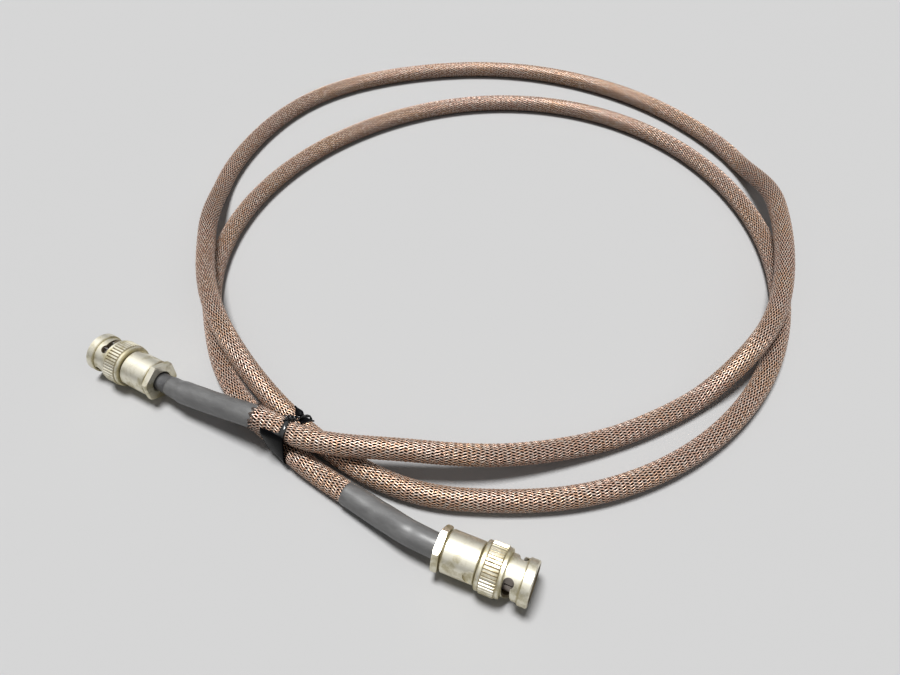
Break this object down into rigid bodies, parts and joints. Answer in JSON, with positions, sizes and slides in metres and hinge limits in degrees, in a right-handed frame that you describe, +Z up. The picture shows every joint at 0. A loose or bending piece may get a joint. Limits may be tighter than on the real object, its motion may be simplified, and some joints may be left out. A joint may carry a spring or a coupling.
{
  "type": "coaxial instrument cable",
  "caption": "Sleeved coaxial cable with a bayonet plug on each end, heat-shrink strain reliefs, coiled and held by a twist tie; the coupling rings turn and spring forward.",
  "frame": {"origin": "on the table, at the middle of the box round the two plugs", "axes": "+Z up from the table; +X runs along the longer side of the plugs' box, to plug B; +Y points from the plugs into the loops"},
  "size_m": [0.2553, 0.2796, 0.0162],
  "materials": {
    "nickel": "satin nickel plate on brass, warm, tarnished yellow in the corners and worn bright on the edges",
    "bright_nickel": "bright nickel plate",
    "spring_steel": "plain rolled spring steel",
    "gold_pin": "thin gold plate, satin",
    "white_insulator": "waxy white fluoropolymer",
    "gasket_rubber": "matt silicone rubber",
    "copper_braid": "bare copper wire",
    "black_jacket": "satin black cable jacket",
    "braided_sleeve": "clear-brown glossy monofilament mesh over a dark copper-brown layer",
    "heat_shrink": "dark grey shrink tube with a soft sheen and small dents",
    "tie_plastic": "black plastic-covered wire strip, glossy"
  },
  "bodies": {
    "cable_and_plugs": {"plug_a_wave_washer": "spring_steel", "plug_a_retaining_ring": "spring_steel", "plug_a_body": "nickel", "plug_a_contact_sleeve": "bright_nickel", "plug_a_insulator": "white_insulator", "plug_a_centre_pin": "gold_pin", "plug_a_front_gasket": "gasket_rubber", "plug_a_clamp_nut": "nickel", "plug_a_clamp_washer": "spring_steel", "plug_a_clamp_gasket": "gasket_rubber", "plug_a_braid_clamp": "bright_nickel", "plug_a_braid_end": "copper_braid", "plug_a_dielectric_end": "white_insulator", "plug_a_conductor_end": "copper_braid", "plug_b_wave_washer": "spring_steel", "plug_b_retaining_ring": "spring_steel", "plug_b_body": "nickel", "plug_b_contact_sleeve": "bright_nickel", "plug_b_insulator": "white_insulator", "plug_b_centre_pin": "gold_pin", "plug_b_front_gasket": "gasket_rubber", "plug_b_clamp_nut": "nickel", "plug_b_clamp_washer": "spring_steel", "plug_b_clamp_gasket": "gasket_rubber", "plug_b_braid_clamp": "bright_nickel", "plug_b_braid_end": "copper_braid", "plug_b_dielectric_end": "white_insulator", "plug_b_conductor_end": "copper_braid", "cable_core_a": "black_jacket", "cable_core_loops": "black_jacket", "cable_core_b": "black_jacket", "sleeve_a": "braided_sleeve", "sleeve_loops": "braided_sleeve", "sleeve_b": "braided_sleeve", "heat_shrink_a": "heat_shrink", "heat_shrink_b": "heat_shrink", "twist_tie": "tie_plastic"},
    "plug_a_washer": {"plug_a_thrust_washer": "spring_steel"},
    "plug_a_ring": {"plug_a_coupling_ring": "nickel"},
    "plug_b_washer": {"plug_b_thrust_washer": "spring_steel"},
    "plug_b_ring": {"plug_b_coupling_ring": "nickel"}
  },
  "joints": [
    {"name": "plug_a_ring_push", "type": "slide", "parent": "cable_and_plugs", "child": "plug_a_washer", "axis": [-0.866, 0.5, 0], "range_m": [0, 0.0012], "stiffness_N_per_m": 500, "springref_m": -0.002, "deforming": ["plug_a_wave_washer"]},
    {"name": "plug_a_ring_turn", "type": "hinge", "parent": "plug_a_washer", "child": "plug_a_ring", "pos_m": [-0.0623, 0.03837, 0.00725], "axis": [-0.866, 0.5, 0], "continuous": true},
    {"name": "plug_b_ring_push", "type": "slide", "parent": "cable_and_plugs", "child": "plug_b_washer", "axis": [0.9135, -0.4067, 0], "range_m": [0, 0.0012], "stiffness_N_per_m": 500, "springref_m": -0.002, "deforming": ["plug_b_wave_washer"]},
    {"name": "plug_b_ring_turn", "type": "hinge", "parent": "plug_b_washer", "child": "plug_b_ring", "pos_m": [0.06294, -0.03853, 0.00725], "axis": [0.9135, -0.4067, 0], "continuous": true}
  ]
}
